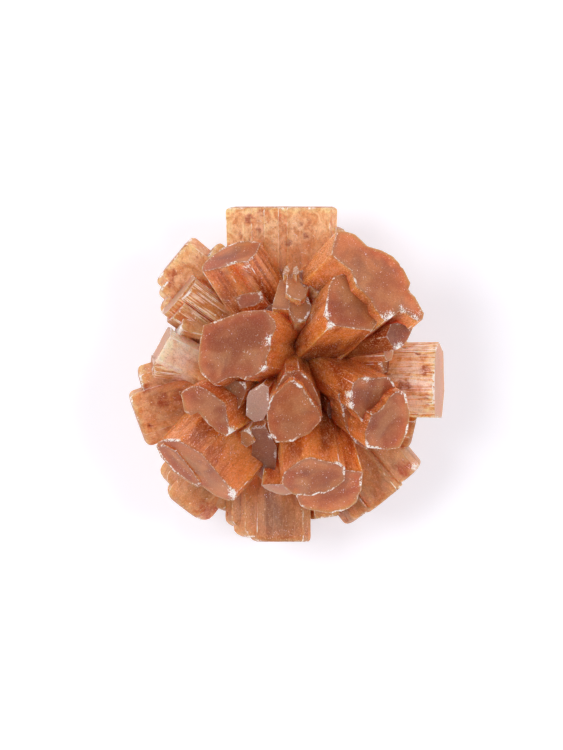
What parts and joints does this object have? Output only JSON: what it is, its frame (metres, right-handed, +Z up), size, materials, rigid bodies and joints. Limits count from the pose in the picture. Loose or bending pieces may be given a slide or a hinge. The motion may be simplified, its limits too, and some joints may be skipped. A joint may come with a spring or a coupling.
{
  "type": "aragonite cluster",
  "caption": "Rounded cluster of twinned aragonite prisms that radiate from one core, with flat matt ends and striated sides; a natural mineral specimen for display.",
  "frame": {"origin": "middle of the cluster's outline in plan, on the surface that it stands on", "axes": "+Z up from the flat foot, +X to the right and +Y away as the cluster is looked down on with its broad flat crystal at the back"},
  "size_m": [0.0474, 0.0504, 0.0436],
  "materials": {
    "aragonite": "translucent orange-brown crystal, matt flat ends, satin striated sides, white chipped rims"
  },
  "bodies": {
    "root": {"aragonite_cluster": "aragonite"}
  },
  "joints": []
}
